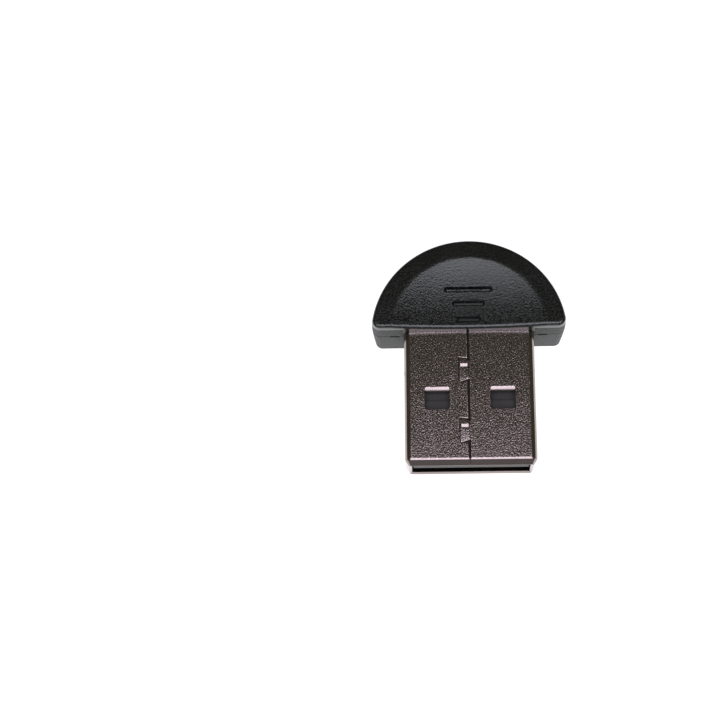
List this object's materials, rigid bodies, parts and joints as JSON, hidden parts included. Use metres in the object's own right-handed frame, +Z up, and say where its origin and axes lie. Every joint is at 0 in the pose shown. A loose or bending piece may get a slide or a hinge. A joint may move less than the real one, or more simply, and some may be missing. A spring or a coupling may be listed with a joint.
{
  "type": "usb wireless adapter",
  "caption": "Short USB wireless adapter: a half-moon black body with a thumb dish and grip grooves, on a folded steel USB type A plug.",
  "frame": {"origin": "middle of the whole length and width, on the surface that the body's underside lies on", "axes": "+Y from the plug's tip to the body's rounded back, +Z up through the face with the thumb dish"},
  "size_m": [0.0178, 0.021, 0.0074],
  "materials": {
    "cover_plastic": "black plastic with a fine spark-eroded texture",
    "plug_steel": "nickel-plated sheet steel, dulled and finely grained",
    "insulator_plastic": "dark moulded plastic",
    "contact_gold": "gold-plated contact strip",
    "board_laminate": "glass-fibre laminate under green solder mask",
    "chip_package": "black moulding compound",
    "can_metal": "plated metal lid",
    "capacitor_ceramic": "tan ceramic with tinned ends",
    "antenna_ceramic": "off-white ceramic with tinned ends",
    "solder": "bright solder"
  },
  "bodies": {
    "root": {"upper_cover": "cover_plastic", "lower_cover": "cover_plastic", "usb_shell": "plug_steel", "plug_insulator": "insulator_plastic", "contact_vbus": "contact_gold", "contact_data_minus": "contact_gold", "contact_data_plus": "contact_gold", "contact_ground": "contact_gold", "solder_vbus": "solder", "solder_data_minus": "solder", "solder_data_plus": "solder", "solder_ground": "solder", "solder_leg_left": "solder", "solder_leg_right": "solder", "circuit_board": "board_laminate", "chip_antenna": "antenna_ceramic", "crystal": "can_metal", "bulk_capacitor": "capacitor_ceramic", "ferrite_bead": "chip_package", "matching_capacitor": "capacitor_ceramic", "matching_coil": "antenna_ceramic", "resistor_data_minus": "chip_package", "resistor_data_plus": "chip_package", "radio_chip": "chip_package", "memory_chip": "chip_package", "voltage_regulator": "chip_package", "regulator_capacitor": "capacitor_ceramic"}
  },
  "joints": []
}
